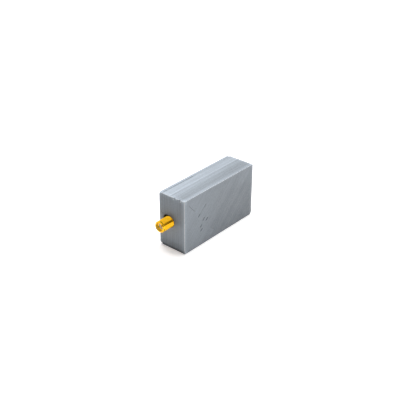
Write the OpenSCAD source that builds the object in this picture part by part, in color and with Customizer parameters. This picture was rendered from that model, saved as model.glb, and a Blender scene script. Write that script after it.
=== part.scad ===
// RF attenuator: a printed case in two pieces holds a board of chip resistors between two coaxial jacks.
// X runs from jack to jack, Y from the front panel to the lid, and Z up.
// The origin is on the base, under the middle of the case.

/* [Case] */
// Length over the two end walls
case_l = 55; // [50:0.5:70]
// Depth from the front panel to the back of the lid
case_d = 17; // [16:0.5:22]
// Height of the case as it stands
case_h = 30.5; // [28:0.5:40]
// Thickness of the top, bottom and end walls
wall = 2; // [1.6:0.1:2.6]
// Thickness of the front panel
panel_t = 2; // [1.2:0.1:3]
// Radius of the case corners
corner_r = 0.6; // [0.3:0.1:1.5]
// Radius of the one corner that is worn round, at the far end of the base
worn_corner_r = 2; // [0.6:0.1:3]
// Radius round the edge of the front panel
panel_edge_r = 0.4; // [0.2:0.1:0.8]
// Radius of the corners inside the case
cavity_r = 1; // [0.4:0.1:1.5]
// Bevel on each side of the seam between case and lid
seam_bevel = 0.15; // [0.05:0.05:0.3]

/* [Lid] */
// Thickness of the lid plate
lid_t = 1.5; // [1:0.1:2.2]
// Radius of the upper lid corners
lid_corner_r = 1.6; // [0.4:0.1:3]
// Radius of the lower lid corners
lid_base_r = 2.1; // [0.4:0.1:3]
// Radius round the back edge of the lid
lid_edge_r = 0.4; // [0.2:0.1:0.8]
// Depth that the lips of the lid reach into the case
lip_depth = 1.6; // [1.3:0.1:2.2]
// Thickness of a lip
lip_t = 1.2; // [0.9:0.1:1.6]
// Length of a lip
lip_l = 32; // [20:1:34]
// Clearance between a lip and the wall beside it
lip_gap = 0.15; // [0.05:0.05:0.3]
// Radius of the snap bead along a lip
bead_r = 0.4; // [0.35:0.05:0.6]
// Length of the snap bead
bead_l = 12; // [6:1:18]
// Clearance round the bead in its groove
bead_gap = 0.1; // [0.05:0.05:0.2]
// Depth of the tongue in the mouth of each slot
tongue_depth = 2.3; // [1.2:0.1:2.5]
// Clearance on each side of the tongue
tongue_gap = 0.2; // [0.05:0.05:0.4]
// Clearance between the round end of the tongue and the barrel
barrel_gap = 1.1; // [0.6:0.1:1.3]

/* [Board mounting] */
// Radius of the posts in the case and the pillars on the lid
post_r = 2.2; // [1.8:0.1:2.8]
// Radius of the peg on each post
peg_r = 1.1; // [0.8:0.1:1.3]
// Clearance round a peg, in the board and in its pillar
peg_gap = 0.1; // [0.05:0.05:0.2]
// Height of a peg above the board
peg_h = 1.2; // [0.6:0.1:2]
// Clearance beyond the end of a peg
peg_end_gap = 0.3; // [0.1:0.1:0.6]
// Distance from the end of the board to the post axes
post_inset_x = 4.5; // [3:0.1:6]
// Distance from the long edge of the board to the post axes
post_inset_z = 3.2; // [3:0.1:4]

/* [Jacks] */
// Height of the jack axis above the middle of the case
jack_rise = 0.45; // [-1:0.05:1]
// Distance of the jack axis behind the middle of the case
jack_back = 1.7; // [0:0.1:2]
// Outside radius of the coupling thread
thread_r = 3.175; // [3.1:0.005:3.2]
// Length of the barrel from its flange to its mouth
barrel_l = 9.5; // [8:0.1:13]
// Radius of the plain neck inside the wall
neck_r = 2.8; // [2.6:0.1:3]
// Bevel at the mouth of the barrel
mouth_bevel = 0.4; // [0.1:0.1:0.6]
// Radius of the mouth
mouth_r = 2.3; // [2.25:0.05:2.4]
// Depth of the mouth down to the insulator
mouth_depth = 1.9; // [1.5:0.1:2.5]
// Clearance of the barrel in its slot
slot_gap = 0.2; // [0.1:0.05:0.5]
// Width of the flange, along the end wall
flange_w = 9.5; // [8.6:0.1:11]
// Height of the flange, from front to back
flange_h = 6.35; // [6:0.05:7]
// Thickness of the flange
flange_t = 1.65; // [1.2:0.05:2.2]
// Width of the four legs
leg_w = 1; // [0.8:0.05:1.3]
// Length of the legs
leg_l = 4.2; // [3:0.1:5]
// Radius of the insulator
insulator_r = 2.05; // [1.9:0.05:2.1]
// Clearance of the pieces pressed together in a jack
press_gap = 0.01; // [0:0.005:0.02]
// Radius of the centre contact
contact_r = 0.635; // [0.6:0.005:0.8]
// Radius of the socket in the contact
socket_r = 0.47; // [0.45:0.005:0.5]
// Depth of the socket
socket_depth = 2.8; // [2.4:0.1:4]
// Width of the slots that part the contact fingers
finger_slot_w = 0.15; // [0.1:0.01:0.18]
// Length of the contact fingers
finger_l = 2.2; // [1.5:0.1:2.6]
// Radius of the contact tail
tail_r = 0.38; // [0.3:0.01:0.45]
// Length of the contact tail beyond the flange
tail_l = 3.5; // [2:0.1:5]
// Width and height of the solder fillets
solder_w = 0.5; // [0.3:0.05:0.6]

/* [Board] */
// Thickness of the bare board
laminate_t = 1.6; // [0.8:0.1:1.8]
// Thickness of the copper on each side
copper_t = 0.07; // [0.03:0.01:0.1]
// Clearance between the board and the top and bottom walls
board_gap = 0.4; // [0.2:0.1:1]
// Clearance between the board and the jack flanges
board_end_gap = 0.05; // [0.02:0.01:0.2]
// Bare margin between the copper and the edge of the board
copper_margin = 0.4; // [0.2:0.1:0.8]
// Width of the signal line
line_w = 3; // [2:0.1:3.2]
// Distance between two stages of the resistor ladder
stage_pitch = 9; // [7.5:0.5:10]
// Radius of the plated holes that tie both grounds together
via_r = 0.3; // [0.2:0.05:0.4]
// Distance between the plated holes
via_pitch = 4; // [3:0.5:6]

/* [Chip resistors] */
// Length of a chip
chip_l = 3.2; // [2.6:0.1:3.6]
// Width of a chip
chip_w = 1.6; // [1.2:0.1:2.5]
// Height of a chip
chip_h = 0.6; // [0.4:0.05:0.8]
// Length of the metal cap at each end of a chip
cap_l = 0.5; // [0.3:0.05:0.7]
// Thickness of the cap around the chip body
cap_t = 0.05; // [0.03:0.01:0.1]

/* [Hidden] */
$fn = 64;
// Cutters run past the faces that they open by this much
margin = 1;

half_l = case_l / 2;
front_y = -case_d / 2;
back_y = case_d / 2;
seam_y = back_y - lid_t;
panel_y = front_y + panel_t;
cavity_x = half_l - wall;
cavity_top = case_h - wall;

jack_y = jack_back;
jack_z = case_h / 2 + jack_rise;
slot_r = thread_r + slot_gap;
insulator_tip = barrel_l - mouth_depth;

board_t = laminate_t + 2 * copper_t;
board_top = jack_y - tail_r;
board_bottom = board_top - board_t;
board_half_l = cavity_x - flange_t - board_end_gap;
board_half_h = min(jack_z - wall, cavity_top - jack_z) - board_gap;
leg_t = flange_h / 2 - tail_r - board_t;
leg_x = flange_w / 2 - leg_w;
copper_x = board_half_l - copper_margin;
copper_z = board_half_h - copper_margin;
pad_gap = chip_l - 2 * cap_l;
ground_z = line_w / 2 + pad_gap;
via_z = ground_z + chip_w;

post_x = board_half_l - post_inset_x;
post_z = board_half_h - post_inset_z;
bead_y = seam_y - lip_depth / 2;

ENDS = ["a", "b"];
ROWS = ["upper", "lower"];
SERIES = [1, 2, 3];
SHUNTS = [1, 2, 3, 4];

// Extrusions along each axis. Their outlines are drawn in (x, z), (y, z) and (x, y).
module along_y(y0, y1) {
    translate([0, y1, 0]) rotate([90, 0, 0]) linear_extrude(y1 - y0) children();
}

module along_x(x0, x1) {
    translate([x0, 0, 0]) rotate([90, 0, 90]) linear_extrude(x1 - x0) children();
}

module along_z(z0, z1) {
    translate([0, 0, z0]) linear_extrude(z1 - z0) children();
}

// What a round or a bevel takes off a corner at the origin whose sides run along +x and +y
module round_waste(r) {
    difference() {
        translate([-margin, -margin]) square(r + margin);
        translate([r, r]) circle(r);
    }
}

module bevel_waste(w) {
    polygon([[-margin, -margin], [w + margin, -margin], [-margin, w + margin]]);
}

// A rectangle with a round or a bevel on each corner, counted anticlockwise from the lower left
module trimmed_rectangle(low, high, rounds = [0, 0, 0, 0], bevels = [0, 0, 0, 0]) {
    corners = [low, [high.x, low.y], high, [low.x, high.y]];
    difference() {
        translate(low) square(high - low);
        for (i = [0:3]) translate(corners[i]) rotate(90 * i) {
            if (rounds[i] > 0) round_waste(rounds[i]);
            if (bevels[i] > 0) bevel_waste(bevels[i]);
        }
    }
}

// The full outline of the case between two depths, with its edges trimmed alike on all four sides
module case_block(y0, y1, corner_radii, rounds, bevels) {
    intersection() {
        along_y(y0, y1) trimmed_rectangle([-half_l, 0], [half_l, case_h], corner_radii);
        along_x(-half_l, half_l) trimmed_rectangle([y0, 0], [y1, case_h], rounds, bevels);
        along_z(0, case_h) mirror([1, -1]) trimmed_rectangle([y0, -half_l], [y1, half_l], rounds, bevels);
    }
}

// A round bar along Y
module bar(x, z, r, y0, y1) {
    translate([x, y1, z]) rotate([90, 0, 0]) cylinder(r = r, h = y1 - y0);
}

module at_posts() {
    for (x = [-post_x, post_x], z = [jack_z - post_z, jack_z + post_z]) translate([x, 0, z]) children();
}

// Each long side of the lid: +1 at the top wall, -1 at the bottom wall
module at_lips() {
    for (side = [1, -1]) translate([0, 0, side > 0 ? cavity_top : wall]) mirror([0, 0, side > 0 ? 0 : 1]) children();
}

// U-shaped opening for a jack, in (y, z)
module slot_outline() {
    translate([jack_y, jack_z]) {
        circle(slot_r);
        translate([0, -slot_r]) square([seam_y - jack_y + margin, 2 * slot_r]);
    }
}

module case_body() {
    color("silver") {
        difference() {
            case_block(
                front_y, seam_y,
                [corner_r, worn_corner_r, corner_r, corner_r],
                [panel_edge_r, 0, 0, panel_edge_r],
                [0, seam_bevel, seam_bevel, 0]
            );
            along_y(panel_y, seam_y + margin)
                trimmed_rectangle([-cavity_x, wall], [cavity_x, cavity_top], [for (i = [0:3]) cavity_r]);
            along_x(-half_l - margin, -cavity_x + margin) slot_outline();
            along_x(cavity_x - margin, half_l + margin) slot_outline();
            at_lips() snap_bead(bead_r + bead_gap, bead_l + 2 * bead_gap);
        }
        at_posts() {
            bar(0, 0, post_r, panel_y, board_bottom);
            bar(0, 0, peg_r, panel_y, board_top + peg_h);
        }
    }
}

// Bead on the outer face of a lip, measured from the wall above it
module snap_bead(r, l) {
    translate([-l / 2, bead_y, -lip_gap]) rotate([0, 90, 0]) cylinder(r = r, h = l);
}

module lip() {
    translate([-lip_l / 2, seam_y - lip_depth, -lip_gap - lip_t]) cube([lip_l, lip_depth + lid_t / 2, lip_t]);
    snap_bead(bead_r, bead_l);
}

// Block that closes the mouth of a slot and ends in a hollow round the barrel, in (y, z)
module tongue_outline() {
    difference() {
        translate([seam_y - tongue_depth, jack_z - slot_r + tongue_gap])
            square([tongue_depth + lid_t / 2, 2 * (slot_r - tongue_gap)]);
        translate([jack_y, jack_z]) circle(thread_r + barrel_gap);
    }
}

module case_lid() {
    color("silver") difference() {
        union() {
            case_block(
                seam_y, back_y,
                [lid_base_r, lid_base_r, lid_corner_r, lid_corner_r],
                [0, lid_edge_r, lid_edge_r, 0],
                [seam_bevel, 0, 0, seam_bevel]
            );
            at_lips() lip();
            along_x(-half_l, -cavity_x - tongue_gap) tongue_outline();
            along_x(cavity_x + tongue_gap, half_l) tongue_outline();
            at_posts() bar(0, 0, post_r, board_top, seam_y + lid_t / 2);
        }
        at_posts() bar(0, 0, peg_r + peg_gap, board_top - margin, board_top + peg_h + peg_end_gap);
    }
}

// Copper on the face with the chips, in (x, z) about the jack axis: the line, the grounds and the leg pads
module top_copper() {
    pad_z = leg_x - solder_w;
    for (side = [1, -1]) mirror([0, side > 0 ? 0 : 1]) {
        translate([-copper_x, ground_z]) square([2 * copper_x, copper_z - ground_z]);
        for (x = [-copper_x, copper_x - leg_l]) translate([x, pad_z]) square([leg_l, copper_z - pad_z]);
    }
    difference() {
        translate([-copper_x, -line_w / 2]) square([2 * copper_x, line_w]);
        for (i = SERIES) translate([series_x(i) - pad_gap / 2, -line_w]) square([pad_gap, 2 * line_w]);
    }
}

function series_x(i) = (i - 2) * stage_pitch;
function shunt_x(i) = (i - 2.5) * stage_pitch;

// Plated holes along the inner edge of both ground areas, between the legs of the jacks
module vias() {
    n = floor((board_half_l - leg_l - 2 * solder_w) / via_pitch);
    for (i = [-n:n], side = [1, -1]) translate([i * via_pitch, side * via_z]) circle(via_r);
}

module circuit_board() {
    color("seagreen") difference() {
        translate([0, 0, jack_z]) difference() {
            union() {
                along_y(board_bottom + copper_t, board_top - copper_t)
                    trimmed_rectangle([-board_half_l, -board_half_h], [board_half_l, board_half_h]);
                along_y(board_top - copper_t, board_top) top_copper();
                along_y(board_bottom, board_bottom + copper_t)
                    trimmed_rectangle([-copper_x, -copper_z], [copper_x, copper_z]);
            }
            along_y(board_bottom - margin, board_top + margin) vias();
        }
        at_posts() bar(0, 0, peg_r + peg_gap, board_bottom - margin, board_top + margin);
    }
}

// Puts a jack drawn along +Z, with its flange seated at z = 0, into end "a" or "b" of the case
module at_end(end) {
    side = end == "a" ? -1 : 1;
    translate([side * cavity_x, jack_y, jack_z]) rotate([0, side * 90, 0]) children();
}

// The four legs of a jack, as an outline in (x, y) about its axis, above and below the board
module at_legs() {
    for (side = [1, -1]) mirror([side > 0 ? 0 : 1, 0]) {
        translate([leg_x, -tail_r]) children();
        translate([leg_x, -tail_r - board_t]) mirror([0, 1]) children();
    }
}

module jack_shell() {
    color("gold") difference() {
        union() {
            rotate_extrude() polygon([
                [0, -flange_t / 2], [neck_r, -flange_t / 2], [neck_r, wall], [thread_r, wall],
                [thread_r, barrel_l - mouth_bevel], [thread_r - mouth_bevel, barrel_l], [0, barrel_l]
            ]);
            translate([-flange_w / 2, -flange_h / 2, -flange_t]) cube([flange_w, flange_h, flange_t]);
            translate([0, 0, -flange_t - leg_l]) linear_extrude(leg_l + flange_t / 2)
                at_legs() square([leg_w, leg_t]);
        }
        translate([0, 0, insulator_tip]) cylinder(r = mouth_r, h = mouth_depth + margin);
        translate([0, 0, -flange_t - margin]) cylinder(r = insulator_r, h = insulator_tip + flange_t + 2 * margin);
    }
}

module jack_insulator() {
    color("ivory") translate([0, 0, -flange_t]) difference() {
        cylinder(r = insulator_r - press_gap, h = insulator_tip + flange_t);
        translate([0, 0, -margin]) cylinder(r = contact_r + press_gap, h = insulator_tip + flange_t + 2 * margin);
    }
}

module jack_contact() {
    color("gold") difference() {
        rotate_extrude() polygon([
            [0, -flange_t - tail_l], [tail_r, -flange_t - tail_l], [tail_r, -flange_t],
            [contact_r, -flange_t], [contact_r, insulator_tip], [0, insulator_tip]
        ]);
        translate([0, 0, insulator_tip - socket_depth]) cylinder(r = socket_r, h = socket_depth + margin);
        for (turn = [0, 90]) rotate(turn)
            translate([-contact_r - margin, -finger_slot_w / 2, insulator_tip - finger_l])
                cube([2 * (contact_r + margin), finger_slot_w, finger_l + margin]);
    }
}

// Wedge of solder in a corner at the origin whose sides run along +x and +y
module fillet_outline() {
    polygon([[0, 0], [solder_w, 0], [0, solder_w]]);
}

module tail_solder_outline() {
    // The wedge stops short of the line where the round tail touches the board
    toe = tail_r / 2;
    for (side = [1, -1]) mirror([side > 0 ? 0 : 1, 0]) difference() {
        polygon([[toe, -tail_r], [tail_r + solder_w, -tail_r], [tail_r, 0], [toe, 0]]);
        circle(tail_r);
    }
}

// Solder on the copper along the legs and the tail of a jack
module jack_solder() {
    copper_end = board_end_gap + copper_margin;
    color("gainsboro") {
        translate([0, 0, -flange_t - leg_l]) linear_extrude(leg_l - copper_end) at_legs() {
            translate([leg_w, 0]) fillet_outline();
            mirror([1, 0]) fillet_outline();
        }
        translate([0, 0, -flange_t - tail_l]) linear_extrude(tail_l - copper_end) tail_solder_outline();
    }
}

// A chip that lies along X on the board, with its feet at y = 0
module chip_resistor() {
    color("dimgray") {
        translate([cap_t - chip_l / 2, cap_t, -chip_w / 2]) cube([chip_l - 2 * cap_t, chip_h - 2 * cap_t, chip_w]);
        for (x = [-chip_l / 2, chip_l / 2 - cap_l]) translate([x, 0, -chip_w / 2]) cube([cap_l, chip_h, chip_w]);
    }
}

module series_resistor(i) {
    translate([series_x(i), board_top, jack_z]) chip_resistor();
}

module shunt_resistor(i, row) {
    side = row == "upper" ? 1 : -1;
    reach = line_w / 2 + pad_gap / 2;
    translate([shunt_x(i), board_top, jack_z + side * reach]) rotate([0, 90, 0]) chip_resistor();
}

case_body();
case_lid();
circuit_board();
for (end = ENDS) {
    at_end(end) jack_shell();
    at_end(end) jack_insulator();
    at_end(end) jack_contact();
    at_end(end) jack_solder();
}
for (i = SERIES) {
    series_resistor(i);
}
for (i = SHUNTS, row = ROWS) {
    shunt_resistor(i, row);
}
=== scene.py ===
"""Dresses the RF attenuator: a printed two-piece case with a gold-plated threaded jack at each end."""
import math

import bmesh
import bpy
import numpy as np
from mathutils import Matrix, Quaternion, Vector


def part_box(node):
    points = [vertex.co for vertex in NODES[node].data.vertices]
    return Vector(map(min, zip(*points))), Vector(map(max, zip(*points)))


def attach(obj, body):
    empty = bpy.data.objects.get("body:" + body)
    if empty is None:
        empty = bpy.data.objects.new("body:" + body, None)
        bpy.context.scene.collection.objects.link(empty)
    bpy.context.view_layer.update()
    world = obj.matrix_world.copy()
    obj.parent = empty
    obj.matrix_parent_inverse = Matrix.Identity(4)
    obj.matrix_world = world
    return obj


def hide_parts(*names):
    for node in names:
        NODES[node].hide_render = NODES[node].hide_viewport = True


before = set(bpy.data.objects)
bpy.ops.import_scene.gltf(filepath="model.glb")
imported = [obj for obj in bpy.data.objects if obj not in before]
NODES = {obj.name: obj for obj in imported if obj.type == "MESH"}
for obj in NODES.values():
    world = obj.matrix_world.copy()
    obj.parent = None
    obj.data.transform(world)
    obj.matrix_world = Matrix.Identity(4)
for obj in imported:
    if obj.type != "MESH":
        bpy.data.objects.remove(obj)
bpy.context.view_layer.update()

MM = 0.001

# Camera, measured from the corners of the case in the photograph
IMAGE_PX = 400
FOCAL_PX = 800
CAMERA_AZIMUTH = -49.421
CAMERA_ELEVATION = 29.183
CAMERA_ROLL = 0.119
CAMERA_DISTANCE = 412.83 * MM
CAMERA_TARGET = Vector((-5.895, 0, 19.577)) * MM
SENSOR_MM = 36
CLIP_NEAR = 1 * MM
CLIP_FAR = 100

# Floor, in metres. Beside the object it keeps the shadow, and it turns white further away.
FLOOR_SIZE = 6
FLOOR_COLOR = (0.78, 0.78, 0.78)
FLOOR_SEEN = (1, 1, 1)
FLOOR_GLOW = 0.45
GLOW_COLOR = (1, 0.96, 0.94, 1)
WHITE_FROM = 0.09
WHITE_AT = 0.25

# World. Glossy rays also meet an unlit room on the camera's side: how bright it is, which way it lies
# in (x, y), how far round it starts, and the heights between which it starts and ends.
SKY_COLOR = (1, 1, 1, 1)
AMBIENT_COLOR = (0.95, 0.98, 1, 1)
AMBIENT = 0.2
ROOM = 0.12
ROOM_WAY = (-0.76, -0.65)
ROOM_SIDE = (0.3, 0.6)
ROOM_FOOT = (0.01, 0.1)
ROOM_HEAD = (0.56, 0.44)

# Softbox overhead, in metres and watts
KEY_PLACE = (0.07, 0.06, 0.5)
KEY_SIZE = (0.11, 0.56)
KEY_POWER = 2.85

# Sizes of the part in millimetres, from its solids
BODY_LOW, BODY_HIGH = (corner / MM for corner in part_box("case_body"))
LID_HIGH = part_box("case_lid")[1] / MM
SHELL_LOW, SHELL_HIGH = (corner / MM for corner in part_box("jack_a_shell"))
HALF_L = BODY_HIGH.x
CASE_H = BODY_HIGH.z
FRONT_Y = BODY_LOW.y
SEAM_Y = BODY_HIGH.y
BACK_Y = LID_HIGH.y
JACK_Y = (SHELL_LOW.y + SHELL_HIGH.y) / 2
JACK_Z = (SHELL_LOW.z + SHELL_HIGH.z) / 2
CORNER_R = 0.6
WORN_CORNER_R = 2
LID_CORNER_R = 1.6
LID_BASE_R = 2.1
EDGE_R = 0.4
WALL = 2
CAVITY_X = HALF_L - WALL

# Printed layers, in millimetres. A step gives a share of the layer and how far its edge draws in there.
# The skin lies inside the solid, and varies from layer to layer by the spread and along each by the wobble.
LAYER = 0.2
LAYER_STEPS = ((0, 0.02), (0.18, 0.005), (0.5, 0), (0.82, 0.005))
FIRST_DEPTHS = (0, 0.02, 0.06, 0.12)
SKIN = 0.03
SKIN_LEAST = 0.008
LAYER_SPREAD = 0.006
WOBBLE = 0.004
WOBBLE_REACH = 2
WOBBLE_CALM = 2
OUTLINE_STEP = 1.5
CORNER_STEPS = 6
OVERRUN = 1
WELD = 1e-7

# Layers of the body that draw in, or stand proud where the depth is negative: place along y, half width and
# depth. Towards its front, the body flares out.
RIDGES = ((2.1, 0.14, -0.022), (1.1, 0.12, 0.05))
FLARE = 0.02
FLARE_DEPTH = 1.2

# Seam groove, just in front of the parting line. On the top it opens towards the left end.
SEAM_BACK = 0.5
SEAM_W = 0.22
SEAM_DEPTH = 0.05
SEAM_OPENING = 0.3
SEAM_OPEN_X = 2
SEAM_FADE = 10
UPWARD = 0.9

# Printed lines of the flat faces, in millimetres: loops round the edge, then slanting lines
CUTTER_RISE = 0.5
LOOPS = (0.6, 1.05, 1.5)
LOOP_HALF_W = 0.045
LOOP_DEPTH = 0.02
LOOP_CORNER_LEAST = 0.25
LOOP_CORNER_STEPS = 6
LINE_W = 0.45
LINE_PITCH = LINE_W * math.sqrt(2)
INFILL_GAP = 0.15
INFILL_LEAST = 0.6
INFILL_LEAST_RISE = 0.4
INFILL_HALF_W = (0.03, 0.045)
INFILL_DEPTH = (0.012, 0.022)

# Marks on the front face, in (x, z). A gap between printed lines: middle, length and half width.
# A scratch: start, end and half width.
GAPS = (
    ((-16.4, 18.1), 2.6, 0.2),
    ((-12.9, 14.5), 2.8, 0.18),
    ((-10.4, 13.6), 2.6, 0.2),
    ((-14.9, 11.4), 2.6, 0.18),
    ((-14.6, 8.9), 2.6, 0.2),
    ((-11.9, 21.9), 3.2, 0.11),
)
GAP_DEPTH = 0.5
GAP_SLOPE = math.pi / 4
GAP_STRAIGHT = 0.5
SCRATCHES = (
    ((-15.5, 19), (-12.5, 21.3), 0.08),
    ((-24.1, 26.7), (-19.5, 21.75), 0.12),
    ((-7.6, 7.1), (-4.6, 4.6), 0.09),
)
SCRATCH_DEPTH = 0.15

# Nicks in the top edge of the near end: place along y and size
NICKS = ((-5.3, 0.75), (-2, 0.6))

# Angles, in degrees, past which an edge is shaded sharp
PRINTED_SHARP = 8
GOLD_SHARP = 35

# Jacks, in millimetres from the flange seat along the axis
PITCH = 25.4 / 36
CREST_W = 0.14
CREST_R = 3.085
THREAD_START = 0.32
THREAD_DEPTH = 0.28
THREAD_ROWS = 172
RUN_IN = 0.2
RUN_OUT = 0.12
NECK_R = 2.8
NECK_STEP = 0.02
BARREL_L = 9.5
LIP_L = 0.95
LIP_BEVEL = 0.4
MOUTH_R = 2.3
MOUTH_DEPTH = 1.9
MOUTH_BEVEL = 0.12
BEVEL_OVERRUN = 0.08
INSULATOR_R = 2.05
FLANGE_T = 1.65
FLANGE_W = SHELL_HIGH.z - SHELL_LOW.z
FLANGE_H = SHELL_HIGH.y - SHELL_LOW.y
LEG_W = 1
LEG_L = 4.2
TAIL_R = 0.38
BOARD_T = 1.74
TURN_STEPS = 96

# Printed plastic. A tone runs from 0, dark, to 1, light, and what changes it is added to the middle tone.
# A pair of places says where a change starts and where it is full.
CASE_DARK = (0.0345, 0.0392, 0.0448)
CASE_LIGHT = (0.668, 0.745, 0.833)
CHALK = (0.9, 0.92, 0.94)
MIDDLE_TONE = 0.5
SIDE_ROUGH = 0.42
FLAT_ROUGH = 0.25
ROUGH_SWING = 0.06
FLAT_FACING = (0.75, 0.95)
SIDE_FACING = (0.5, 0.9)

# All over: scale and tone of the specks, the mottling and the clouds, and the painted fall of light from end
# to end, lighter at the near end
GRAIN = ((6, 0.035), (1.8, 0.09), (0.12, 0.025))
LIGHT_FALL_TONE = (0.055, -0.055)

# Round the sides: each layer's own shade, streaks drawn out along the layers, and a ripple along the top
LAYER_TONE = 0.02
STREAK_TONE = 0.19
STREAK_STRETCH = (0.05, 4, 0.05)
RIPPLE = 1.3
RIPPLE_TONE = 0.045
DRIFT = 0.8
DRIFT_SCALE = 0.7

# Tones of the top from front to back, along y: a painted highlight on the front edge, the darker front half,
# a light line, a groove painted dark as shade, a bright line painted as a highlight, and the lighter back
# half, lighter still at its edge
TOP_BANDS = (
    (-8.5, 0.54), (-7.7, 0.54),
    (-6.3, 0.415), (-4.5, 0.41), (-2, 0.445),
    (-0.2, 0.57), (0.3, 0.52),
    (0.7, 0.435),
    (1.5, 0.635), (1.8, 0.74), (2.2, 0.605),
    (3.1, 0.585), (4.6, 0.64), (6.5, 0.565), (7.6, 0.685),
)

# On the flat faces: each line's own shade, strokes along the lines, and a slow change up and along the face,
# which is painted light and shade, darker towards the foot and the right, with a painted sheen high on the
# right
LINE_TONE = 0.03
STROKE_TONE = 0.07
STROKE_STRETCH = (2, 0.3)
RISE_TONE = (-0.06, 0.055)
RUN_X = (-22, 2)
RUN_TONE = (0.03, -0.035)
SHEEN_X = (0, 20)
SHEEN_Z = (18, 27)
SHEEN_TONE = 0.09

# On the end faces: shade all over, and more at the foot, at the very bottom and above the jack
FOOT_Z = (7, 1)
FOOT_TONE = -0.12
SOLE_Z = (2.4, 0.6)
SOLE_TONE = -0.45
END_Y = (2, -6)
END_TONE = (-0.055, -0.045)
JACK_SHADE_R = (6.5, 3.6)
JACK_SHADE_Z = (JACK_Z - 4, JACK_Z + 2)
JACK_SHADE_TONE = -0.14

# Edges, rubbed pale and given painted highlights. The long ones are beaded by the ripple. An edge has its
# chalk and the tone of a painted halo of light beside it.
RUB_AND_GLINT = (0.5, 0.15)
RUB_AND_GLINT_TONE = 0.15
RUB_AND_GLINT_Z = (0.8, 2.5)
RUB_AND_GLINT_ROUGH = 0.2
RUB_AND_GLINT_SCALE = 1.6
HALO = (2.6, 0.2)
BEAD_RIPPLE = (-0.1, 0.7)
BEAD_CHALK = 0.75
UPRIGHT_CHALK = 1.0
UPRIGHT_HALO = 0.15
CROSS_CHALK = 0.6
CROSS_HALO = 0.14

# Chalky flecks under the top edge of the near end: y, z and size. The nicks beside them are painted dark
# inside, as shade.
FLECKS = ((-1.2, 29.4, 0.6), (-6, 29.7, 0.65), (-3.2, 29.9, 0.4))
FLECK_CHALK = 0.6
FLECK_CORE = 0.3
NICK_CHALK = -0.8
NICK_TONE = -0.3
NICK_CORE = 0.6

# Painted shade in the gaps of the flat faces, in the seam, and on the walls of the jack's slots
GAP_INSET = (0.8, 1.2)
GAP_MOUTH = (0.05, 0.14)
GAP_FLOOR = (0.9, 0.7)
GAP_TONE = -0.7
SEAM_SHADE = (0.36, 0.14)
SEAM_DASH = (0.38, 0.5)
SEAM_DASH_STRETCH = 0.55
SEAM_TONE = (-0.06, -0.4)
SLOT_HALF = (4.8, 4.5)
SLOT_FRONT = (JACK_Y - 4.8, JACK_Y - 4.4)
SLOT_BACK = (SEAM_Y, SEAM_Y - 0.1)
SLOT_IN = (0.1, 0.4)
SLOT_TONE = -0.48

# Gold: tints of the thread, the mouth, painted paler as light inside it, and the flange, painted dark as
# shade inside the case, and the places where they change
GOLD_THREAD = ((1, 0.44, 0.004), (1, 0.6, 0.03))
GOLD_MOUTH = ((1, 0.66, 0.07), (1, 0.76, 0.16))
GOLD_CASE_SHADE = ((0.03, 0.018, 0.006), (0.1, 0.06, 0.02))
GOLD_TONE = 0.12
CREST_TONE = (0.3, 0.85)
CREST_FROM = (CREST_R - THREAD_DEPTH, CREST_R - 0.03)
MOUTH_FROM = (MOUTH_R + 0.25, MOUTH_R + 0.1)
CASE_SHADE_FROM = (CAVITY_X + 0.4, CAVITY_X + 0.1)

# The other pieces: tints from dark to light, how far light goes into the dielectric, how deep the copper lies
# under the board's faces, and where a chip's caps start, as a share of its length from the middle
DIELECTRIC = ((1, 0.88, 0.78), (1, 0.95, 0.88))
DIELECTRIC_DEPTH = (0.4 * MM, 0.3 * MM, 0.25 * MM)
BOARD_BARE = ((0.01, 0.07, 0.03), (0.05, 0.2, 0.09))
BOARD_PLATED = ((0.55, 0.45, 0.3), (0.75, 0.66, 0.5))
COPPER_DEPTH = (0.05, 0.03)
SOLDER = ((0.5, 0.5, 0.48), (0.8, 0.8, 0.78))
CHIP_GLAZE = ((0.01, 0.01, 0.012), (0.04, 0.04, 0.045))
CHIP_METAL = ((0.55, 0.55, 0.54), (0.8, 0.8, 0.79))
CHIP_CAP = (0.33, 0.35)

SEED = 7
random = np.random.default_rng(SEED)


def link(obj):
    bpy.context.scene.collection.objects.link(obj)
    return obj


def make_camera():
    azimuth, elevation = math.radians(CAMERA_AZIMUTH), math.radians(CAMERA_ELEVATION)
    back = Vector((
        math.sin(azimuth) * math.cos(elevation),
        -math.cos(azimuth) * math.cos(elevation),
        math.sin(elevation),
    ))
    data = bpy.data.cameras.new("camera")
    data.sensor_width = SENSOR_MM
    data.lens = SENSOR_MM * FOCAL_PX / IMAGE_PX
    data.clip_start = CLIP_NEAR
    data.clip_end = CLIP_FAR
    camera = link(bpy.data.objects.new("camera", data))
    camera.rotation_mode = "QUATERNION"
    camera.location = CAMERA_TARGET + CAMERA_DISTANCE * back
    roll = Quaternion((0, 0, 1), math.radians(CAMERA_ROLL))
    camera.rotation_quaternion = (-back).to_track_quat("-Z", "Y") @ roll
    bpy.context.scene.camera = camera


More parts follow.
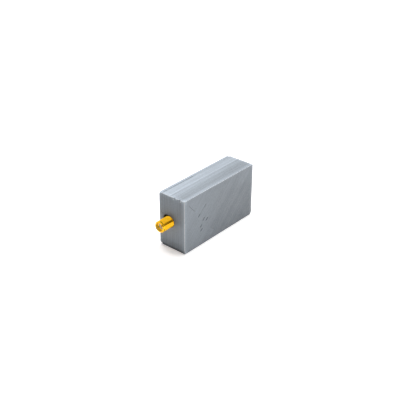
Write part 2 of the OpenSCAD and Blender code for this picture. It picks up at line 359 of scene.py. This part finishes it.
class Graph:
    """A node tree, with short calls for the nodes that the looks are made of."""

    def __init__(self, owner):
        self.owner = owner
        owner.use_nodes = True
        self.tree = owner.node_tree
        self.tree.nodes.clear()

    def node(self, kind, inputs=(), **settings):
        made = self.tree.nodes.new("ShaderNode" + kind)
        for key, value in settings.items():
            setattr(made, key, value)
        for key, value in dict(inputs).items():
            if isinstance(value, bpy.types.NodeSocket):
                self.tree.links.new(value, made.inputs[key])
            else:
                made.inputs[key].default_value = value
        return made

    def math(self, operation, *values):
        return self.node("Math", enumerate(values), operation=operation).outputs[0]

    def chain(self, operation, values):
        total = values[0]
        for value in values[1:]:
            total = self.math(operation, total, value)
        return total

    def add(self, *values):
        return self.chain("ADD", values)

    def times(self, *values):
        return self.chain("MULTIPLY", values)

    def apart(self, a, b):
        """How far two values are from each other."""
        return self.math("ABSOLUTE", self.math("SUBTRACT", a, b))

    def scaled(self, value, low, high):
        """A value that runs from 0 to 1, brought to low to high."""
        return self.math("MULTIPLY_ADD", value, high - low, low)

    def swing(self, value, reach):
        """A value that runs from 0 to 1, brought to as far below 0 as above."""
        return self.scaled(value, -reach, reach)

    def ease(self, value, start, end):
        """0 where the value is at start, 1 at end, and smooth between."""
        inputs = {"Value": value, "From Min": start, "From Max": end}
        return self.node("MapRange", inputs, interpolation_type="SMOOTHSTEP").outputs[0]

    def run(self, value, places, ends):
        """One number where the value is at the first place, another at the second, and smooth between."""
        return self.scaled(self.ease(value, *places), *ends)

    # The Mix node has sockets 2 and 3 for numbers, and 6 and 7 for colours
    def blend(self, factor, a, b):
        return self.node("Mix", {0: factor, 2: a, 3: b}).outputs[0]

    def tint(self, factor, dark, light):
        """From one colour to another, each a socket or three numbers."""
        ends = [c if isinstance(c, bpy.types.NodeSocket) else (*c, 1) for c in (dark, light)]
        return self.node("Mix", {0: factor, 6: ends[0], 7: ends[1]}, data_type="RGBA").outputs[2]

    def place(self):
        """Position on the piece, in millimetres, as a vector and as x, y and z."""
        at = self.node("TexCoord").outputs["Object"]
        vector = self.node("VectorMath", {0: at, "Scale": 1 / MM}, operation="SCALE").outputs[0]
        return vector, *self.node("SeparateXYZ", {0: vector}).outputs

    def facing(self):
        """The normal's x, y and z."""
        normal = self.node("NewGeometry").outputs["Normal"]
        return self.node("SeparateXYZ", {0: normal}).outputs

    def generated(self):
        """Place in the object's box, from 0 to 1 along each axis, or in a world the way of the ray."""
        return self.node("SeparateXYZ", {0: self.node("TexCoord").outputs["Generated"]}).outputs

    def vector(self, x, y, z):
        return self.node("CombineXYZ", {0: x, 1: y, 2: z}).outputs[0]

    def length(self, vector):
        return self.node("VectorMath", {0: vector}, operation="LENGTH").outputs["Value"]

    def distance(self, vector, point):
        return self.node("VectorMath", {0: vector, 1: point}, operation="DISTANCE").outputs["Value"]

    def noise(self, vector, scale, detail=2):
        inputs = {"Vector": vector, "Scale": scale, "Detail": detail}
        return self.node("TexNoise", inputs).outputs[0]

    def dice(self, value):
        """A random number from 0 to 1 for each whole number."""
        whole = self.math("FLOOR", value)
        return self.node("TexWhiteNoise", {"W": whole}, noise_dimensions="1D").outputs[0]

    def stops(self, value, stops):
        """A value along a line of (place, value) stops."""
        ramp = self.node("ValToRGB", {0: value})
        points = ramp.color_ramp.elements
        while len(points) < len(stops):
            points.new(1)
        for point, (place, level) in zip(points, stops):
            point.position = place
            point.color = (level, level, level, 1)
        return ramp.outputs[0]

    def bump(self, height, distance):
        return self.node("Bump", {"Height": height, "Distance": distance * MM, "Strength": 1}).outputs[0]

    def principled(self, inputs):
        shader = self.node("BsdfPrincipled", inputs)
        self.node("OutputMaterial", {0: shader.outputs[0]})
        return self.owner

    def radius(self, y, z):
        """Distance from the axis of the jacks, in millimetres."""
        return self.length(self.vector(0, self.math("SUBTRACT", y, JACK_Y), self.math("SUBTRACT", z, JACK_Z)))

    def background_ray(self):
        path = self.node("LightPath").outputs
        seen = self.math("MAXIMUM", path["Is Camera Ray"], path["Is Glossy Ray"])
        return self.math("MAXIMUM", seen, path["Is Transmission Ray"])


def graph(name):
    return Graph(bpy.data.materials.new(name))


def make_world():
    """White where it is seen, soft light elsewhere, and an unlit room that only glossy rays meet."""
    world = bpy.data.worlds.new("studio")
    g = Graph(world)
    x, y, up = g.generated()
    toward = g.add(g.times(x, ROOM_WAY[0]), g.times(y, ROOM_WAY[1]))
    room = g.times(g.ease(up, *ROOM_FOOT), g.ease(up, *ROOM_HEAD), g.ease(toward, *ROOM_SIDE))
    mirrored = g.times(room, g.node("LightPath").outputs["Is Glossy Ray"])
    seen = g.node("Background", {"Color": SKY_COLOR, "Strength": g.scaled(mirrored, 1, ROOM)})
    ambient = g.node("Background", {"Color": AMBIENT_COLOR, "Strength": AMBIENT})
    mix = g.node("MixShader", {0: g.background_ray(), 1: ambient.outputs[0], 2: seen.outputs[0]})
    g.node("OutputWorld", {0: mix.outputs[0]})
    bpy.context.scene.world = world


def make_floor():
    mesh = bpy.data.meshes.new("floor")
    s = FLOOR_SIZE / 2
    mesh.from_pydata([(-s, -s, 0), (s, -s, 0), (s, s, 0), (-s, s, 0)], [], [(0, 1, 2, 3)])
    g = graph("floor")
    camera_ray = g.node("LightPath").outputs["Is Camera Ray"]
    diffuse = g.node("BsdfDiffuse", {"Color": g.tint(camera_ray, FLOOR_COLOR, FLOOR_SEEN)})
    away = g.length(g.node("TexCoord").outputs["Object"])
    level = g.times(g.background_ray(), g.run(away, (WHITE_FROM, WHITE_AT), (FLOOR_GLOW, 1)))
    glow = g.node("Emission", {"Color": GLOW_COLOR, "Strength": level})
    both = g.node("AddShader", {0: diffuse.outputs[0], 1: glow.outputs[0]})
    g.node("OutputMaterial", {0: both.outputs[0]})
    mesh.materials.append(g.owner)
    link(bpy.data.objects.new("floor", mesh))


def make_light():
    data = bpy.data.lights.new("softbox", "AREA")
    data.shape = "RECTANGLE"
    data.size, data.size_y = KEY_SIZE
    data.energy = KEY_POWER
    light = link(bpy.data.objects.new("softbox", data))
    light.location = KEY_PLACE
    light.visible_glossy = False


# Mesh making. Points are in millimetres.
def closed_mesh(name, points, faces):
    """An object of one or more closed shells, with its normals outward."""
    bm = bmesh.new()
    verts = [bm.verts.new(Vector(p) * MM) for p in points]
    for face in faces:
        bm.faces.new([verts[i] for i in face])
    bmesh.ops.recalc_face_normals(bm, faces=bm.faces)
    mesh = bpy.data.meshes.new(name)
    bm.to_mesh(mesh)
    bm.free()
    return link(bpy.data.objects.new(name, mesh))


def cad_copy(name, node):
    """A copy of a CAD solid, with the points that its faces share joined."""
    bm = bmesh.new()
    bm.from_mesh(NODES[node].data)
    bmesh.ops.remove_doubles(bm, verts=bm.verts, dist=WELD)
    mesh = bpy.data.meshes.new(name)
    bm.to_mesh(mesh)
    bm.free()
    return link(bpy.data.objects.new(name, mesh))


def combine(base, operation, tool):
    """Base with the tool cut off, added or kept in common. The tool goes."""
    modifier = base.modifiers.new("combine", "BOOLEAN")
    modifier.operation = operation
    modifier.solver = "MANIFOLD"
    modifier.object = tool
    graph_now = bpy.context.evaluated_depsgraph_get()
    old = base.data
    base.data = bpy.data.meshes.new_from_object(base.evaluated_get(graph_now))
    base.modifiers.clear()
    bpy.data.meshes.remove(old)
    bpy.data.objects.remove(tool)


def finish_piece(obj, node, material, sharp):
    """Joins the points of a finished mesh, shades and dresses it, and puts it in place of its solid."""
    bm = bmesh.new()
    bm.from_mesh(obj.data)
    bmesh.ops.remove_doubles(bm, verts=bm.verts, dist=WELD)
    bmesh.ops.dissolve_degenerate(bm, edges=bm.edges, dist=WELD)
    bm.to_mesh(obj.data)
    bm.free()
    obj.data.polygons.foreach_set("use_smooth", [True] * len(obj.data.polygons))
    obj.data.set_sharp_from_angle(angle=math.radians(sharp))
    obj.data.materials.clear()
    obj.data.materials.append(material)
    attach(obj, "root")
    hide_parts(node)


def band_faces(low, high, count):
    """Faces between two closed rows of points, which start at low and high."""
    following = [(i + 1) % count for i in range(count)]
    return [(low + i, low + k, high + k, high + i) for i, k in enumerate(following)]


def ring_faces(rings, count):
    """Faces of a skin through rings of points, with both ends capped."""
    faces = [list(range(count)), list(range((rings - 1) * count, rings * count))]
    for j in range(rings - 1):
        faces += band_faces(j * count, (j + 1) * count, count)
    return faces


# Printed case
def case_outline(radii):
    """Points round the case in (x, z): where each one lies, and the way outward there."""
    corners = ((-HALF_L, 0), (HALF_L, 0), (HALF_L, CASE_H), (-HALF_L, CASE_H))
    places, outward = [], []
    for i, ((x, z), r) in enumerate(zip(corners, radii)):
        centre = np.array((x + math.copysign(r, -x), z + (r if z == 0 else -r)))
        start = math.pi + i * math.pi / 2
        steps = max(CORNER_STEPS, round(r * CORNER_STEPS))
        for k in range(steps + 1):
            a = start + k * math.pi / 2 / steps
            outward.append((math.cos(a), math.sin(a)))
            places.append(centre + r * np.array(outward[-1]))
        ahead = np.array(corners[(i + 1) % 4])
        r_ahead = radii[(i + 1) % 4]
        heading = (ahead - (x, z)) / np.linalg.norm(ahead - (x, z))
        stop = ahead - r_ahead * heading
        first = places[-1]
        pieces = math.ceil(np.linalg.norm(stop - first) / OUTLINE_STEP)
        for k in range(1, pieces):
            places.append(first + (stop - first) * k / pieces)
            outward.append(outward[-1])
    return np.array(places), np.array(outward)


def edge_round(depth):
    """How far a rounded edge draws in, at a depth behind the face that it borders."""
    short = max(EDGE_R - depth, 0)
    return EDGE_R - math.sqrt(EDGE_R**2 - short**2)


def layered_block(name, radii, face_y, inward, reach, shift):
    """The case outline as it is printed, layer on layer, from its face on the print bed to a depth."""
    places, outward = case_outline(radii)
    layers = math.ceil(reach / LAYER)
    waves = random.normal(0, WOBBLE, (layers + 1, len(places)))
    waves = sum(np.roll(waves, k, 1) for k in range(-WOBBLE_REACH, WOBBLE_REACH + 1)) / WOBBLE_CALM
    spread = random.normal(0, LAYER_SPREAD, layers + 1)
    rings = [(depth, 0, 0) for depth in FIRST_DEPTHS]
    rings += [((j + t) * LAYER, j, cut) for j in range(1, layers) for t, cut in LAYER_STEPS]
    points = []
    for depth, j, cut in rings:
        y = face_y + inward * (depth + SKIN_LEAST)
        inset = SKIN + cut + spread[j] + waves[j] + shift(y, places, outward)
        inset = np.maximum(inset, SKIN_LEAST) + edge_round(depth)
        at = places - outward * inset[:, None]
        points += [(x, y, z) for x, z in at]
    return closed_mesh(name, points, ring_faces(len(rings), len(places)))


def bell(y, middle, half_w):
    """1 at the middle, falling off smoothly on both sides."""
    return math.exp(-(((y - middle) / half_w) ** 2))


def open_seam(y, places, outward):
    """How far the layers beside the seam draw in: mostly along the left half of the top."""
    left = np.clip((SEAM_OPEN_X - places[:, 0]) / SEAM_FADE, 0, 1)
    depth = np.where(outward[:, 1] > UPWARD, SEAM_DEPTH + SEAM_OPENING * left, SEAM_DEPTH)
    return depth * bell(y, SEAM_Y - SEAM_BACK, SEAM_W)


def body_shift(y, places, outward):
    """How far the body's layers draw in: its ridges, its flared front and the open seam."""
    shift = sum(depth * bell(y, middle, half_w) for middle, half_w, depth in RIDGES)
    shift -= FLARE * max(0, 1 - (y - FRONT_Y) / FLARE_DEPTH)
    return shift + open_seam(y, places, outward)


# Each of these adds the points and faces of closed cutters to one tool. A V-shaped cutter stands out of the
# face by a share of its depth, and is as much wider there. Inward is 1 or -1, the way along y into the face.
def groove(points, faces, start, end, half_w, depth, face_y, inward):
    """A V-shaped cutter along a line on a flat face, from start to end in (x, z)."""
    start, end = np.array(start), np.array(end)
    along = (end - start) / np.linalg.norm(end - start)
    side = np.array((-along[1], along[0])) * half_w * (1 + CUTTER_RISE)
    outer_y = face_y - inward * depth * CUTTER_RISE
    first = len(points)
    for x, z in (start, end):
        points.append((x - side[0], outer_y, z - side[1]))
        points.append((x + side[0], outer_y, z + side[1]))
        points.append((x, face_y + inward * depth, z))
    for face in ((0, 1, 2), (3, 5, 4), (0, 3, 4, 1), (1, 4, 5, 2), (2, 5, 3, 0)):
        faces.append([first + i for i in face])


def dash(points, faces, at, length, half_w, face_y, inward):
    """A cutter for a short gap between two printed lines, pointed at both ends."""
    along = np.array((math.cos(GAP_SLOPE), math.sin(GAP_SLOPE)))
    side = np.array((-along[1], along[0])) * half_w
    half = along * length / 2
    straight = half * GAP_STRAIGHT
    one_side = (-half, -straight - side, straight - side)
    ring = [np.array(at) + off for off in (*one_side, *(-off for off in one_side))]
    first = len(points)
    for y in (face_y - inward * GAP_DEPTH, face_y + inward * GAP_DEPTH):
        points.extend((x, y, z) for x, z in ring)
    faces.extend([first + i for i in face] for face in ring_faces(2, len(ring)))


def rail_outline(radii, inset):
    """Points round a flat face in (x, z), at an inset from its edge."""
    low_x, high_x = inset - HALF_L, HALF_L - inset
    low_z, high_z = inset, CASE_H - inset
    points = []
    for i, (x, z) in enumerate(((low_x, low_z), (high_x, low_z), (high_x, high_z), (low_x, high_z))):
        r = radii[i]
        centre = (x + math.copysign(r, -x), z + (r if z == low_z else -r))
        for k in range(LOOP_CORNER_STEPS + 1):
            a = math.pi + i * math.pi / 2 + k * math.pi / 2 / LOOP_CORNER_STEPS
            points.append((centre[0] + r * math.cos(a), centre[1] + r * math.sin(a)))
    return points


def loop_grooves(points, faces, radii, face_y, inward):
    """A V-shaped cutter between each two lines that run round the edge of a flat face."""
    rise = LOOP_DEPTH * CUTTER_RISE
    reach = LOOP_HALF_W * (1 + CUTTER_RISE)
    for inset in LOOPS:
        starts = []
        for rail, depth in ((inset - reach, -rise), (inset + reach, -rise), (inset, LOOP_DEPTH)):
            starts.append(len(points))
            outline = rail_outline([max(r - rail, LOOP_CORNER_LEAST) for r in radii], rail)
            points.extend((x, face_y + inward * depth, z) for x, z in outline)
        for i, low in enumerate(starts):
            faces.extend(band_faces(low, starts[(i + 1) % 3], len(outline)))


def infill_grooves(points, faces, slope, face_y, inward):
    """V-shaped cutters between the slanting lines that fill a flat face. The slope is 1 or -1."""
    inset = LOOPS[-1] + INFILL_GAP
    low_x, high_x = inset - HALF_L, HALF_L - inset
    middle_z = CASE_H / 2
    count = int((2 * HALF_L + CASE_H) / LINE_PITCH)
    for line in range(-count, count):
        # The line x = slope * (z - middle_z) + offset, kept inside the rectangle
        offset = (line + 0.5) * LINE_PITCH
        ends = []
        for z in (inset, CASE_H - inset):
            x = offset + slope * (z - middle_z)
            x = min(max(x, low_x), high_x)
            ends.append((x, middle_z + (x - offset) / slope))
        (xa, za), (xb, zb) = ends
        if math.hypot(xb - xa, zb - za) < INFILL_LEAST or abs(zb - za) < INFILL_LEAST_RISE:
            continue
        half_w = random.uniform(*INFILL_HALF_W)
        depth = random.uniform(*INFILL_DEPTH)
        groove(points, faces, ends[0], ends[1], half_w, depth, face_y, inward)


def nick(points, faces, y, size):
    """An eight-sided cutter on the top edge of the near end."""
    first = len(points)
    for axis in range(3):
        for way in (-size, size):
            at = [-HALF_L, y, CASE_H]
            at[axis] += way
            points.append(at)
    for a in (0, 1):
        for b in (2, 3):
            faces.extend([first + a, first + b, first + c] for c in (4, 5))


def cut_lines(piece, radii, slope, face_y, inward):
    points, faces = [], []
    loop_grooves(points, faces, radii, face_y, inward)
    infill_grooves(points, faces, slope, face_y, inward)
    combine(piece, "DIFFERENCE", closed_mesh("lines", points, faces))


def make_body(material):
    radii = (CORNER_R, WORN_CORNER_R, CORNER_R, CORNER_R)
    body = cad_copy("printed_body", "case_body")
    reach = SEAM_Y - FRONT_Y + OVERRUN
    combine(body, "INTERSECT", layered_block("layers", radii, FRONT_Y, 1, reach, body_shift))
    face_y = FRONT_Y + SKIN_LEAST
    cut_lines(body, radii, 1, face_y, 1)
    points, faces = [], []
    for at, length, half_w in GAPS:
        dash(points, faces, at, length, half_w, face_y, 1)
    for start, end, half_w in SCRATCHES:
        groove(points, faces, start, end, half_w, SCRATCH_DEPTH, face_y, 1)
    for y, size in NICKS:
        nick(points, faces, y, size)
    combine(body, "DIFFERENCE", closed_mesh("marks", points, faces))
    finish_piece(body, "case_body", material, PRINTED_SHARP)


def make_lid(material):
    radii = (LID_BASE_R, LID_BASE_R, LID_CORNER_R, LID_CORNER_R)
    lid = cad_copy("printed_lid", "case_lid")
    # The layers run from the back face to past the ends of the lid's pillars
    reach = BACK_Y + OVERRUN
    combine(lid, "INTERSECT", layered_block("layers", radii, BACK_Y, -1, reach, open_seam))
    cut_lines(lid, radii, -1, BACK_Y - SKIN_LEAST, -1)
    finish_piece(lid, "case_lid", material, PRINTED_SHARP)


# Jacks. Side is -1 at the near end and 1 at the far end.
def turn_angles():
    return np.arange(TURN_STEPS) * 2 * math.pi / TURN_STEPS


def thread_radius(angle, w):
    """Radius of a right-hand thread with flat crests and flanks at 45 degrees, and a smooth, bevelled lip."""
    turn = (w / PITCH - angle / (2 * math.pi) - THREAD_START) % 1
    from_crest = np.abs(turn - 0.5) * PITCH
    depth = np.clip(from_crest - CREST_W / 2, 0, THREAD_DEPTH)
    run_in = np.clip((w - WALL) / RUN_IN, 0, 1)
    run_out = np.clip((BARREL_L - LIP_L - w) / RUN_OUT, 0, 1)
    radius = CREST_R - depth * run_in * run_out
    return np.minimum(radius, CREST_R - np.maximum(w - (BARREL_L - LIP_BEVEL), 0))


def jack_point(side, u, v, w):
    """From the jack's own axes to the part's. The jack points along w."""
    return side * (CAVITY_X + w), JACK_Y + v, JACK_Z - side * u


def lathe(name, side, rows):
    """A closed solid through rings. A row is a place along the axis, and a radius or one for each angle."""
    angles = turn_angles()
    points = []
    for w, radius in rows:
        radius = np.broadcast_to(radius, angles.shape)
        points += [jack_point(side, r * math.cos(a), r * math.sin(a), w) for a, r in zip(angles, radius)]
    return closed_mesh(name, points, ring_faces(len(rows), TURN_STEPS))


def jack_block(name, side, low, high):
    """A box between two corners in the jack's own axes."""
    corners = [(low[0], low[1]), (high[0], low[1]), (high[0], high[1]), (low[0], high[1])]
    points = [jack_point(side, u, v, w) for w in (low[2], high[2]) for u, v in corners]
    return closed_mesh(name, points, ring_faces(2, 4))


def make_shell(end, side, material):
    """A jack's body: threaded barrel, flange, and four legs with the board between them."""
    angles = turn_angles()
    rows = [(-FLANGE_T / 2, NECK_R), (WALL - NECK_STEP, NECK_R)]
    thread_rows = np.linspace(WALL + NECK_STEP, BARREL_L - SKIN_LEAST, THREAD_ROWS)
    rows += [(w, thread_radius(angles, w)) for w in thread_rows]
    shell = lathe(f"threaded_jack_{end}", side, rows)
    half_w, half_h = FLANGE_W / 2, FLANGE_H / 2
    combine(shell, "UNION", jack_block("flange", side, (-half_w, -half_h, -FLANGE_T), (half_w, half_h, 0)))
    # The upper and the lower leg on each side, with room for the board between them
    for u in (-half_w, half_w - LEG_W):
        for v0, v1 in ((-TAIL_R, half_h - TAIL_R - BOARD_T - TAIL_R), (-half_h, -TAIL_R - BOARD_T)):
            leg = jack_block("leg", side, (u, v0, -FLANGE_T - LEG_L), (u + LEG_W, v1, -FLANGE_T / 2))
            combine(shell, "UNION", leg)
    tip = BARREL_L - MOUTH_DEPTH
    bore = [(-FLANGE_T - OVERRUN, INSULATOR_R), (tip, INSULATOR_R), (tip, MOUTH_R)]
    bore.append((BARREL_L - MOUTH_BEVEL, MOUTH_R))
    bore.append((BARREL_L + BEVEL_OVERRUN, MOUTH_R + MOUTH_BEVEL + BEVEL_OVERRUN))
    combine(shell, "DIFFERENCE", lathe("bore", side, bore))
    finish_piece(shell, f"jack_{end}_shell", material, GOLD_SHARP)


# Looks
class Spot:
    """A point on the case: its place, the way it faces, its distance from the edges, and the ripple there."""

    def __init__(self, g):
        self.at, self.x, self.y, self.z = g.place()
        facing = g.facing()
        self.flat = g.ease(g.math("ABSOLUTE", facing[1]), *FLAT_FACING)
        self.on_top = g.ease(facing[2], *SIDE_FACING)
        self.on_end = g.ease(g.math("ABSOLUTE", facing[0]), *SIDE_FACING)
        self.depth = g.math("SUBTRACT", self.y, FRONT_Y)
        self.from_end = g.math("SUBTRACT", HALF_L, g.math("ABSOLUTE", self.x))
        self.from_base = g.math("MINIMUM", self.z, g.math("SUBTRACT", CASE_H, self.z))
        self.from_face = g.math("MINIMUM", self.depth, g.math("SUBTRACT", BACK_Y, self.y))
        drift = g.add(self.x, g.swing(g.noise(self.at, DRIFT_SCALE), DRIFT))
        self.ripple = g.math("SINE", g.times(drift, 2 * math.pi / RIPPLE))


def side_tone(g, spot):
    """Tone of the sides, which are printed layer on layer."""
    own = g.swing(g.dice(g.math("DIVIDE", spot.depth, LAYER)), LAYER_TONE)
    place = (spot.x, spot.y, spot.z)
    drawn_out = g.vector(*(g.times(axis, stretch) for axis, stretch in zip(place, STREAK_STRETCH)))
    streak = g.swing(g.noise(drawn_out, 1, 3), STREAK_TONE)
    across = BACK_Y - FRONT_Y
    stops = [((band_y - FRONT_Y) / across, tone) for band_y, tone in TOP_BANDS]
    # The top's bands, with their painted highlights and painted shade
    band = g.add(g.stops(g.math("DIVIDE", spot.depth, across), stops), -MIDDLE_TONE)
    top = g.add(band, g.scaled(spot.ripple, 0, RIPPLE_TONE))
    return g.add(own, streak, g.times(top, spot.on_top))


def flat_tone(g, spot):
    """Tone of the front and the back, which are printed in slanting lines, with painted shade and a painted
    sheen.
    """
    across = g.math("DIVIDE", g.math("SUBTRACT", spot.x, spot.z), LINE_PITCH)
    along = g.add(spot.x, spot.z)
    own = g.swing(g.dice(across), LINE_TONE)
    drawn_out = g.vector(g.times(across, STROKE_STRETCH[0]), g.times(along, STROKE_STRETCH[1]), spot.y)
    stroke = g.swing(g.noise(drawn_out, 1, 1), STROKE_TONE)
    # A painted sheen high on the right of the face
    sheen = g.times(g.ease(spot.x, *SHEEN_X), g.ease(spot.z, *SHEEN_Z))
    # Painted light and shade: darker towards the foot, and from the left towards the right
    slow = g.add(g.run(spot.z, (0, CASE_H), RISE_TONE), g.run(spot.x, RUN_X, RUN_TONE))
    return g.add(own, stroke, slow, g.scaled(sheen, 0, SHEEN_TONE))


def end_tone(g, spot):
    """Shade on the two end faces."""
    above_jack = g.times(g.ease(g.radius(spot.y, spot.z), *JACK_SHADE_R), g.ease(spot.z, *JACK_SHADE_Z))
    tone = g.add(
        g.run(spot.z, FOOT_Z, (0, FOOT_TONE)),
        g.run(spot.z, SOLE_Z, (0, SOLE_TONE)),
        g.run(spot.y, END_Y, END_TONE),
        g.scaled(above_jack, 0, JACK_SHADE_TONE),
    )
    return g.times(spot.on_end, tone)


def edge_wear_and_glints(g, spot):
    """What rubbed edges with painted highlights and halos, flecks, and nicks painted dark as shade add to the
    tone, and how far they turn it to chalk.
    """
    rough_line = g.swing(g.noise(spot.at, RUB_AND_GLINT_SCALE, 3), RUB_AND_GLINT_ROUGH)
    # Beads of painted highlight along the long edges
    beads = g.run(spot.ripple, BEAD_RIPPLE, (0, BEAD_CHALK))
    wear_and_painted_light, chalk = [], []
    for one, other, strong, halo in (
        (spot.from_base, spot.from_face, beads, 0),
        (spot.from_end, spot.from_face, UPRIGHT_CHALK, UPRIGHT_HALO),
        (spot.from_end, spot.from_base, CROSS_CHALK, CROSS_HALO),
    ):
        to_edge = g.math("MAXIMUM", one, other)
        # The pale band along each edge is partly wear and partly a painted highlight
        rub_and_glint = g.times(g.ease(g.add(to_edge, rough_line), *RUB_AND_GLINT), g.ease(spot.z, *RUB_AND_GLINT_Z))
        chalk.append(g.times(rub_and_glint, strong))
        wear_and_painted_light.append(g.times(rub_and_glint, RUB_AND_GLINT_TONE))
        # A painted halo of light beside the edge
        wear_and_painted_light.append(g.run(to_edge, HALO, (0, halo)))
    for y, z, size in FLECKS:
        off = g.distance(spot.at, (-HALF_L, y, z))
        chalk.append(g.run(off, (size, size * FLECK_CORE), (0, FLECK_CHALK)))
    for y, size in NICKS:
        off = g.distance(spot.at, (-HALF_L, y, CASE_H))
        # Painted shade inside the nick
        hollow = g.ease(off, size, size * NICK_CORE)
        chalk.append(g.scaled(hollow, 0, NICK_CHALK))
        wear_and_painted_light.append(g.scaled(hollow, 0, NICK_TONE))
    return g.add(*wear_and_painted_light), g.add(*chalk)


def recess_shade_tone(g, spot):
    """Painted shade in the gaps, the seam and the slots."""
    from_rim = g.math("MINIMUM", spot.from_end, spot.from_base)
    in_gap = g.times(
        g.ease(from_rim, *GAP_INSET),
        g.ease(spot.from_face, *GAP_MOUTH),
        g.ease(spot.from_face, *GAP_FLOOR),
    )
    dashes = g.ease(g.noise(g.vector(g.times(spot.x, SEAM_DASH_STRETCH), 0, 0), 1, 1), *SEAM_DASH)
    in_seam = g.times(g.ease(g.apart(spot.y, SEAM_Y - SEAM_BACK), *SEAM_SHADE), dashes)
    left = g.times(spot.on_top, g.ease(spot.x, SEAM_OPEN_X, SEAM_OPEN_X - SEAM_FADE))
    in_slot = g.times(
        g.ease(g.apart(spot.z, JACK_Z), *SLOT_HALF),
        g.ease(spot.y, *SLOT_FRONT),
        g.ease(spot.y, *SLOT_BACK),
        g.ease(spot.from_end, *SLOT_IN),
    )
    # All three darken the colour as painted shade
    return g.add(
        g.scaled(in_gap, 0, GAP_TONE),
        g.times(in_seam, g.scaled(left, *SEAM_TONE)),
        g.scaled(in_slot, 0, SLOT_TONE),
    )


def printed_look():
    g = graph("printed_silver_plastic")
    spot = Spot(g)
    face = g.blend(spot.flat, side_tone(g, spot), flat_tone(g, spot))
    wear_and_painted_light, chalk = edge_wear_and_glints(g, spot)
    grain = [g.swing(g.noise(spot.at, scale), tone) for scale, tone in GRAIN]
    # Painted light: lighter at the near end, darker at the far end
    painted_light_fall = g.run(spot.x, (-HALF_L, HALF_L), LIGHT_FALL_TONE)
    tone = g.add(face, end_tone(g, spot), wear_and_painted_light, recess_shade_tone(g, spot), *grain, painted_light_fall, MIDDLE_TONE)
    rough = g.blend(spot.flat, SIDE_ROUGH, FLAT_ROUGH)
    return g.principled({
        "Base Color": g.tint(chalk, g.tint(tone, CASE_DARK, CASE_LIGHT), CHALK),
        "Roughness": g.add(rough, g.swing(g.noise(spot.at, 3, 3), ROUGH_SWING)),
        "Normal": g.bump(g.noise(spot.at, 9, 3), 0.006),
    })


def gold_look():
    g = graph("gold_plate")
    at, x, y, z = g.place()
    radius = g.radius(y, z)
    crest = g.run(radius, CREST_FROM, CREST_TONE)
    thread = g.tint(g.add(crest, g.swing(g.noise(at, 1.2, 3), GOLD_TONE)), *GOLD_THREAD)
    # The mouth's paler tint is painted light inside it
    mouth = g.tint(g.noise(at, 2), *GOLD_MOUTH)
    # Painted shade on the flange inside the case
    shaded_flange = g.tint(g.noise(at, 2), *GOLD_CASE_SHADE)
    outside = g.tint(g.ease(radius, *MOUTH_FROM), thread, mouth)
    inside = g.ease(g.math("ABSOLUTE", x), *CASE_SHADE_FROM)
    return g.principled({
        "Base Color": g.tint(inside, outside, shaded_flange),
        "Metallic": 1,
        "Roughness": g.scaled(g.noise(at, 2.5, 3), 0.08, 0.2),
        "Normal": g.bump(g.noise(at, 14), 0.002),
    })


def insulator_look():
    g = graph("white_dielectric")
    at = g.place()[0]
    return g.principled({
        "Base Color": g.tint(g.noise(at, 1.5, 3), *DIELECTRIC),
        "Roughness": g.scaled(g.noise(at, 4), 0.4, 0.6),
        "Subsurface Weight": 0.1,
        "Subsurface Radius": DIELECTRIC_DEPTH,
        "Normal": g.bump(g.noise(at, 8), 0.004),
    })


def board_look():
    g = graph("circuit_board")
    at, x, y, z = g.place()
    low, high = (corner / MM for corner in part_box("circuit_board"))
    back = g.ease(y, *(high.y - depth for depth in COPPER_DEPTH))
    front = g.ease(y, *(low.y + depth for depth in COPPER_DEPTH))
    copper = g.math("MAXIMUM", back, front)
    weave = g.add(g.noise(g.vector(g.times(x, 4), y, z), 1), g.noise(at, 3, 3))
    bare = g.tint(g.times(weave, 0.5), *BOARD_BARE)
    plated = g.tint(g.noise(at, 2, 3), *BOARD_PLATED)
    return g.principled({
        "Base Color": g.tint(copper, bare, plated),
        "Metallic": copper,
        "Roughness": g.scaled(g.noise(at, 3), 0.3, 0.5),
        "Normal": g.bump(weave, 0.01),
    })


def solder_look():
    g = graph("solder")
    at = g.place()[0]
    return g.principled({
        "Base Color": g.tint(g.noise(at, 3, 3), *SOLDER),
        "Metallic": 1,
        "Roughness": g.scaled(g.noise(at, 5), 0.2, 0.45),
        "Normal": g.bump(g.noise(at, 4), 0.02),
    })


def chip_look(name, axis):
    """A chip resistor whose metal caps are at the two ends of an axis: 0 is x and 2 is z."""
    g = graph(name)
    at = g.place()[0]
    cap = g.ease(g.apart(g.generated()[axis], 0.5), *CHIP_CAP)
    glaze = g.tint(g.noise(at, 4, 3), *CHIP_GLAZE)
    metal = g.tint(g.noise(at, 5, 3), *CHIP_METAL)
    return g.principled({
        "Base Color": g.tint(cap, glaze, metal),
        "Metallic": cap,
        "Roughness": g.scaled(g.noise(at, 6), 0.25, 0.45),
        "Normal": g.bump(g.noise(at, 10), 0.006),
    })


make_camera()
make_world()
make_floor()
make_light()

plastic = printed_look()
gold = gold_look()
make_body(plastic)
make_lid(plastic)
make_shell("a", -1, gold)
make_shell("b", 1, gold)

# The nodes that keep their CAD meshes, by a part of their names
KEPT_LOOKS = {
    "insulator": insulator_look(),
    "contact": gold,
    "solder": solder_look(),
    "circuit_board": board_look(),
    "series_resistor": chip_look("chip_along_board", 0),
    "shunt_resistor": chip_look("chip_across_board", 2),
}
for name, obj in NODES.items():
    for part, look in KEPT_LOOKS.items():
        if part in name:
            obj.data.materials.clear()
            obj.data.materials.append(look)

bpy.context.scene.view_settings.view_transform = "Standard"
